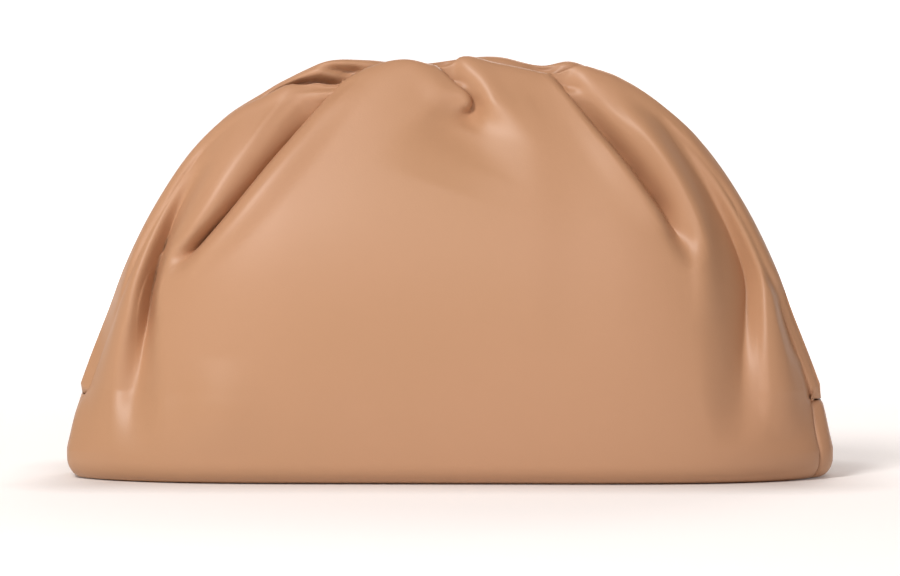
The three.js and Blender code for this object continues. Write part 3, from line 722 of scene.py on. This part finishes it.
def fold_at(rows, x, z):
    """Depth of one fold at places on the panel, and how far it shifts them in x and z."""
    line = smooth_curve(rows, fold_samples)
    way = np.gradient(line[:, :2], axis=0)
    step = np.linalg.norm(way, axis=1)
    way /= step[:, None]
    flat_x, flat_z = x.ravel(), z.ravel()
    nearest = np.zeros(flat_x.size, int)
    least = np.full(flat_x.size, np.inf)
    for i in range(len(line)):
        away = (flat_x - line[i, 0]) ** 2 + (flat_z - line[i, 1]) ** 2
        closer = away < least
        least[closer] = away[closer]
        nearest[closer] = i
    offset_x = flat_x - line[nearest, 0]
    offset_z = flat_z - line[nearest, 1]
    along = offset_x * way[nearest, 0] + offset_z * way[nearest, 1]
    aside = way[nearest, 0] * offset_z - way[nearest, 1] * offset_x
    place = np.clip(nearest + along / step[nearest], 0, len(line) - 1)
    at_end = (nearest == 0) | (nearest == len(line) - 1)
    beyond = np.maximum(np.abs(along) - step[nearest], 0) * at_end
    depth, left, right, left_open, right_open, hang = (
        np.interp(place, np.arange(len(line)), line[:, k]) for k in range(2, 8)
    )
    # A line runs downwards, so what lies to its right has a positive distance
    width = np.where(aside < 0, left, right)
    openness = np.where(aside < 0, left_open, right_open)
    away = np.clip(np.hypot(aside, beyond) / width, 0, 1)
    form = (1 - away ** openness) ** 2
    hanging_side = np.sign(aside) == -np.sign(hang)
    shift = hang * np.sin(np.pi * form ** hang_form) * hanging_side
    return [
        (depth * form).reshape(x.shape),
        (shift * -way[nearest, 1]).reshape(x.shape),
        (shift * way[nearest, 0]).reshape(x.shape),
    ]


def column_places(lines, count):
    """Columns of a panel: the line to the left of each, and its share of the way to the next line."""
    crowding = 1.9
    fewest = 4
    spans = np.diff([line[0] for line in lines])
    columns = []
    for i, span in enumerate(spans):
        steps = max(fewest, round(count * span))
        share = np.arange(steps) / steps
        crisp_left, crisp_right = lines[i][2], lines[i + 1][2]
        if crisp_left and crisp_right:
            towards_left = (2 * share) ** crowding / 2
            towards_right = 1 - (2 - 2 * share) ** crowding / 2
            share = np.where(share < 0.5, towards_left, towards_right)
        elif crisp_left:
            share = share ** crowding
        elif crisp_right:
            share = 1 - (1 - share) ** crowding
        columns += [(i, value) for value in share]
    columns.append((len(lines) - 2, 1.0))
    return columns


def panel_grid(panel, count, wall_rows):
    """The outer surface, from the hem's lower edge over the lip, down the wall and under the base."""
    lines = panel["lines"]
    columns = column_places(lines, count)
    first = np.array([column[0] for column in columns])
    share = np.array([column[1] for column in columns])
    mouths = np.array([line[0] for line in lines])
    leans = np.array([line[1] for line in lines])
    mouth = mouths[first] + (mouths[first + 1] - mouths[first]) * share
    lean = leans[first] + (leans[first + 1] - leans[first]) * share
    centre, way = arch_at(mouth)
    way = way / np.linalg.norm(way, axis=1)[:, None]
    outward = np.stack([-way[:, 1], way[:, 0]], axis=-1)

    lip = panel["lip"]
    rise = gather_rise * np.maximum(way_of_line(lip[::-1][:, [0, 1]], mouth), least_rise)
    nod = way_of_line(lip[::-1][:, [0, 2]], mouth)
    flare = flare_share * rise

    # Height over the rod and depth of each row of the lip
    inner = lip_offset - lip_radius
    places = [(-hem_depth * step, inner) for step in hem_steps]
    places += [(rise * step, inner) for step in inner_steps]
    for turn in np.radians(np.linspace(-90, 90, roll_rows)):
        places.append((rise + lip_radius * math.cos(turn), lip_offset + lip_radius * math.sin(turn)))
    for step in outer_steps:
        places.append((rise * (1 - step), lip_offset + lip_radius + flare * step))
    lip_height = np.stack([np.broadcast_to(height, mouth.shape) for height, depth in places], axis=1)
    depth_there = np.stack([np.broadcast_to(depth, mouth.shape) for height, depth in places], axis=1)
    lip_top = (rise + lip_radius)[:, None]
    shortest_nod = 1
    nodding = np.clip((lip_height - nod_start) / np.maximum(lip_top - nod_start, shortest_nod), 0, 1)
    depth_there = depth_there - nod[:, None] * nodding
    swaying = np.interp(np.arange(rows_above_wall), [roll_top, roll_end], [1, 0])
    depth_there += panel["sway"] * np.sin(2 * math.pi * sway_count * mouth)[:, None] * swaying
    leaning = lean[:, None] * np.clip(lip_height, 0, lip_top) / (gather_rise + lip_radius)
    lip_x = centre[:, :1] + outward[:, :1] * lip_height + way[:, :1] * leaning
    lip_z = centre[:, 1:] + outward[:, 1:] * lip_height + way[:, 1:] * leaning

    down = np.linspace(0, 1, wall_rows) ** wall_crowding
    top_z = centre[:, 1:]
    z = top_z + (foot_roll - top_z) * down

    def between(height):
        """Where the columns would be at a height, from the lines beside them alone."""
        spread = []
        for line in lines:
            top_place = arch_at(line[0])[0]
            side = "left" if line[0] < 0.5 else "right"
            sign = -1 if line[0] < 0.5 else 1
            on_outline = sign * reach_at(panel, side, height)
            below = way_of_line([(top_place[1], top_place[0])] + line[3], height)
            spread.append(np.where(height >= top_place[1], on_outline, below))
        spread = np.array(spread)
        index = np.arange(len(first))
        left = spread[first, index]
        right = spread[first + 1, index]
        return left + (right - left) * share[:, None]

    settling = np.minimum(settle_drop, top_z - foot_roll)
    unsettled = np.clip(1 - (top_z - z) / settling, 0, 1) ** 2
    x = between(z) + (centre[:, :1] - between(top_z)) * unsettled

    # Each gather stands out from the wall below the mouth, and evens out with its neighbours further down
    nearby = np.exp(-((mouth[:, None] - mouth) / even_span) ** 2)
    even_flare = (nearby @ flare / nearby.sum(axis=1))[:, None]
    wall_flare = even_flare + (flare[:, None] - even_flare) * unsettled
    depth = half_depth(panel, x, z, lip_offset + lip_radius + wall_flare)

    # The lip runs into the wall in one soft bend
    sheet = np.stack([
        np.concatenate([lip_x, x], axis=1),
        np.concatenate([depth_there, depth], axis=1),
        np.concatenate([lip_z, z], axis=1),
    ], axis=-1)
    easing = np.interp(np.arange(sheet.shape[1]), bend_rows, bend_strength)[None, 1:-1, None]
    for _ in range(bend_passes):
        between_rows = (sheet[:, :-2] + sheet[:, 2:]) / 2
        sheet[:, 1:-1] += easing * (between_rows - sheet[:, 1:-1])

    # Folds start on the front of the roll, and run out softly where there is little room behind them,
    # so that they stay clear of the frame
    casing_run = 1.5 * hem_depth  # drop below the mouth over which the frame's casing is left behind
    freed_share = 0.7  # how much of the casing's depth is room again below it
    least_room = 0.05
    front = slice(first_folded_row, None)
    x, depth, z = (sheet[:, front, k] for k in range(3))
    over_rod = np.concatenate([lip_height, np.zeros((len(first), wall_rows))], axis=1)[:, front]
    casing = np.sqrt(np.maximum(lip_radius ** 2 - over_rod ** 2, 0))
    below = np.clip((outline_height(panel, x) - z) / casing_run, 0, 1)
    below[:, :rows_above_wall - first_folded_row] = 0
    room = np.maximum(depth - (lip_offset + casing) * (1 - freed_share * below), least_room)
    inward = np.zeros_like(x)
    shift_x = np.zeros_like(x)
    shift_z = np.zeros_like(x)
    for fold in panel["folds"].values():
        fold_depth, fold_x, fold_z = fold_at(fold, x, z)
        inward += fold_depth
        shift_x += fold_x
        shift_z += fold_z
    kept = 1 / (1 + (np.maximum(inward, 0) / room) ** 4) ** 0.25
    sheet[:, front, 0] += shift_x * kept
    sheet[:, front, 1] -= inward * kept
    sheet[:, front, 2] += shift_z * kept
    # The face of a lip that stands above the other one has folds too, fading out at its top
    face = slice(first_face_row, first_folded_row)
    face_x, face_z = sheet[:, face, 0], sheet[:, face, 2]
    fading = np.clip((lip_top - lip_height[:, face]) / lip_radius, 0, 1) ** 0.5
    for fold in panel["face_folds"].values():
        sheet[:, face, 1] += fold_at(fold, face_x, face_z)[0] * fading
    sheet[..., 1] *= -1
    wall = sheet[:, rows_above_wall:]
    rows = [sheet[:, k] for k in range(sheet.shape[1])]

    foot = wall[:, -1]
    near_side = np.clip(1 - (half_width - np.abs(foot[:, 0])) / (side_run / 2), 0, 1)
    inset = corner_round * near_side ** 2 * np.sign(foot[:, 0])
    roll_depth = foot_roll * -foot[:, 1] / belly_depth
    for turn in np.radians(np.linspace(0, 90, foot_rows)[1:]):
        under = 1 - math.cos(turn)
        rows.append(np.stack([
            foot[:, 0] - inset * under,
            foot[:, 1] + roll_depth * under,
            np.full(len(foot), foot_roll * (1 - math.sin(turn))),
        ], axis=-1))
    under_foot = rows[-1]
    seam = np.stack([
        under_foot[:, 0] * base_seam / (2 * half_width),
        np.full(len(foot), -clearance / 2),
        np.zeros(len(foot)),
    ], axis=-1)
    rows += [under_foot + (seam - under_foot) * step for step in base_steps]
    grid = np.stack(rows, axis=1)
    return np.concatenate([
        tucked_end(grid[:1], hinge_tuck["left"]),
        grid,
        tucked_end(grid[-1:], hinge_tuck["right"]),
    ])


def tucked_end(column, tuck):
    """The last column at a hinge, with its lip bent down on to the gusset."""
    height, reach = tuck
    end = column.copy()
    lip = end[0, hem_rows:rows_above_wall]
    side_edge = abs(end[0, rows_above_wall, 0])
    edge_depth = abs(end[0, rows_above_wall, 1])
    bow = 1 - (np.abs(lip[:, 1]) / edge_depth) ** bow_power
    lip[:, 0] = np.sign(lip[:, 0]) * (side_edge + (reach - side_edge) * bow)
    end[0, hem_rows:, 2] = np.minimum(end[0, hem_rows:, 2], height)
    return end


front_columns = 300  # about
front_wall_rows = 112
front_panel = describe_panel(front_lines, front_folds, {}, front_lip, lip_sway)
front_grid = panel_grid(front_panel, front_columns, front_wall_rows)
front_leather = sheet_of_leather("front_leather", front_grid)
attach(front_leather, "root")
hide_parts("front_panel")

# The back leather
# The same kind of panel on the back rod. Its lip stands up behind the front one where the gathers are
# deepest, and the rest hangs in plain soft gathers.
back_lines = [
    (0.0, 0, 0, [(36.5, -181.5), (29, -183.4), (21.5, -184.7), (14, -186.2)]),
    (0.2, 0, 0, [(112, -146.3), (79, -155.8), (46.6, -159.6), (14, -159.6)]),
    (0.355, 0, 0, [(143, -98.8), (100, -117.8), (57, -125.4), (14, -125.4)]),
    (0.45, 0, 0, [(146, -38), (102, -47.5), (58, -53.2), (14, -53.2)]),
    (0.56, 0, 0, [(146, 45.6), (102, 58.9), (58, 64.6), (14, 64.6)]),
    (0.655, 0, 0, [(142, 100.7), (99, 119.7), (56, 127.3), (14, 127.3)]),
    (0.8, 0, 0, [(112, 150.1), (79, 159.6), (46.6, 163.4), (14, 163.4)]),
    (1.0, 0, 0, [(36.5, 183.4), (29, 185.8), (21.5, 187.5), (14, 188.7)]),
]
back_folds = {
    "outer_left": [
        (-138, 142, 0, 18, 15, 2, 2, 0),
        (-150, 105, 7, 18, 15, 2, 2, 0),
        (-157, 60, 4, 18, 15, 2, 2, 0),
        (-159, 24, 0, 18, 15, 2, 2, 0),
    ],
    "inner_left": [
        (-78, 182, 0, 14, 16, 1.4, 1.2, 0),
        (-95, 148, 8, 15, 18, 1.5, 1.3, 0),
        (-114, 108, 5, 15, 18, 1.8, 1.8, 0),
        (-124, 62, 0, 15, 18, 2, 2, 0),
    ],
    "mid_left": [
        (-26, 189, 0, 14, 16, 1.6, 1.6, 0),
        (-36, 158, 5, 18, 18, 1.8, 1.8, 0),
        (-46, 105, 0, 20, 18, 2, 2, 0),
    ],
    "mid_right": [
        (32, 189, 0, 16, 14, 1.6, 1.6, 0),
        (43, 155, 5.5, 18, 18, 1.8, 1.8, 0),
        (58, 90, 0, 18, 20, 2, 2, 0),
    ],
    "inner_right": [
        (80, 182, 0, 16, 14, 1.2, 1.4, 0),
        (98, 146, 8, 18, 15, 1.3, 1.5, 0),
        (116, 104, 5, 18, 15, 1.8, 1.8, 0),
        (126, 58, 0, 18, 15, 2, 2, 0),
    ],
    "outer_right": [
        (138, 142, 0, 15, 18, 2, 2, 0),
        (153, 102, 7, 15, 18, 2, 2, 0),
        (160, 58, 4, 15, 18, 2, 2, 0),
        (163, 24, 0, 15, 18, 2, 2, 0),
    ],
}
# Folds in what shows of its face above the front lip: a roll with a dimple over it and a slit below it on
# the left, and smaller hollows beside the pinch and the right crease.
back_face_folds = {
    "roll": [
        (-84, 193, 0, 3, 3, 2, 2, 0),
        (-76, 197.5, -1.6, 3, 3.5, 2, 2, 0),
        (-65, 200, -2.2, 3, 3.5, 2, 2, 0),
        (-58, 198.5, -2, 3, 3, 2, 2, 0),
        (-51, 196, 0, 3, 3, 2, 2, 0),
    ],
    "dimple": [
        (-64, 202.5, 0, 3, 3, 2, 2, 0),
        (-57, 201.5, 3, 2.5, 4, 1.4, 1.6, 0),
        (-50, 200, 4, 2.5, 5, 1.2, 1.6, 0),
        (-42, 201.5, 0, 3, 4, 2, 2, 0),
    ],
    "slit": [
        (-92, 186, 0, 3, 3, 2, 2, 0),
        (-88, 189, 4, 3.5, 3, 1.2, 1.2, 0),
        (-77, 194, 3.5, 4, 2.5, 1.2, 1.2, 0),
        (-67, 195.5, 4, 4, 3, 1.2, 1.2, 0),
        (-58, 193.5, 4, 4, 3, 1.2, 1.2, 0),
        (-52, 192, 0, 4, 3, 2, 2, 0),
    ],
    "by_pinch": [
        (-12, 201, 0, 3, 3, 2, 2, 0),
        (-7, 203, 4, 3, 3, 1.4, 1.4, 0),
        (-1, 204.5, 4, 3, 3, 1.4, 1.4, 0),
        (3, 206, 0, 3, 3, 2, 2, 0),
    ],
    "by_crease": [
        (36, 203.5, 0, 3, 3, 2, 2, 0),
        (42, 202, 4, 3, 3, 1.4, 1.4, 0),
        (47, 201, 4, 3, 3, 1.4, 1.4, 0),
        (56, 204.5, 0, 3, 3, 2, 2, 0),
    ],
}
back_lip = [
    (0.0, 0.06, 0),
    (0.28, 0.06, 0),
    (0.326, 0.21, 0),
    (0.345, 0.45, 0.5),
    (0.365, 0.73, 3),
    (0.383, 0.93, 5),
    (0.423, 0.86, 3),
    (0.46, 0.64, 0),
    (0.546, 0.9, 0),
    (0.588, 0.7, 0),
    (0.61, 0.93, 2),
    (0.637, 0.7, 0),
    (0.697, 0.1, 0),
    (0.74, 0.06, 0),
    (1.0, 0.06, 0),
]
back_columns = 240  # about
back_wall_rows = 90
back_panel = describe_panel(back_lines, back_folds, back_face_folds, back_lip, -lip_sway)
back_grid = panel_grid(back_panel, back_columns, back_wall_rows) * (1, -1, 1)
back_leather = sheet_of_leather("back_leather", back_grid)
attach(back_leather, "root")
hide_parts("back_panel")

# The gussets
# A narrow strip of the same leather at each side below the hinge, seamed to both panels and bowed out
# between them, which lets the mouth open.
hinge_gap = {"left": 0.3, "right": 0.8}  # between the lips' ends and the top of the gusset
seam_gap = 1.2 * clearance  # between the gusset and the side edge of each panel
gusset_columns = 25
gusset_wall_rows = 30
gusset_foot_rows = 9
gusset_foot_turn = 85  # degrees, so that its lower edge ends just above the ground

# How far each gusset bows out at its middle, as (height, reach)
gusset_reach = {
    "left": [(0, 190), (14.5, 190), (22, 188.3), (31, 186.2), (41, 183)],
    "right": [(0, 190), (14.5, 190), (22, 188.3), (31, 186.4), (36, 185.2), (38, 184)],
}


def gusset_grid(side, front_edge, back_edge):
    """A gusset's outer surface between the side edges of the two panels."""
    sign = -1 if side == "left" else 1
    table = np.array(gusset_reach[side], float)
    height = front_edge[:, 2]
    across = back_edge - front_edge
    across *= seam_gap / np.linalg.norm(across, axis=1)[:, None]
    start = front_edge + across
    end = back_edge - across
    reach = np.interp(height, table[:, 0], table[:, 1])
    wall = height >= foot_roll
    rolled = corner_round * (1 - np.sqrt(np.clip(1 - (1 - height / foot_roll) ** 2, 0, 1)))
    reach = np.where(wall, reach, reach - rolled)
    grid = []
    for share in np.linspace(0, 1, gusset_columns):
        column = start + (end - start) * share
        bow = 1 - (2 * share - 1) ** bow_power
        column[:, 0] += (sign * reach - column[:, 0]) * bow
        grid.append(column)
    return np.stack(grid, axis=0)


def resampled(edge, heights):
    """A panel's side edge at given heights, from the hinge down to the base."""
    order = np.argsort(edge[:, 2])
    return np.stack([np.interp(heights, edge[order, 2], edge[order, k]) for k in range(3)], axis=-1)


for side, column in (("left", 1), ("right", -2)):
    gusset_heights = np.concatenate([
        np.linspace(hinge_tuck[side][0] - hinge_gap[side], foot_roll, gusset_wall_rows),
        foot_roll * (1 - np.sin(np.radians(np.linspace(0, gusset_foot_turn, gusset_foot_rows)[1:]))),
    ])
    edges = []
    for grid in (front_grid, back_grid):
        wall_edge = grid[column, rows_above_wall:-len(base_steps)]
        edges.append(resampled(wall_edge, gusset_heights))
    strip = gusset_grid(side, *edges)
    gusset = sheet_of_leather(side + "_gusset_leather", strip)
    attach(gusset, "root")
    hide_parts(side + "_gusset")
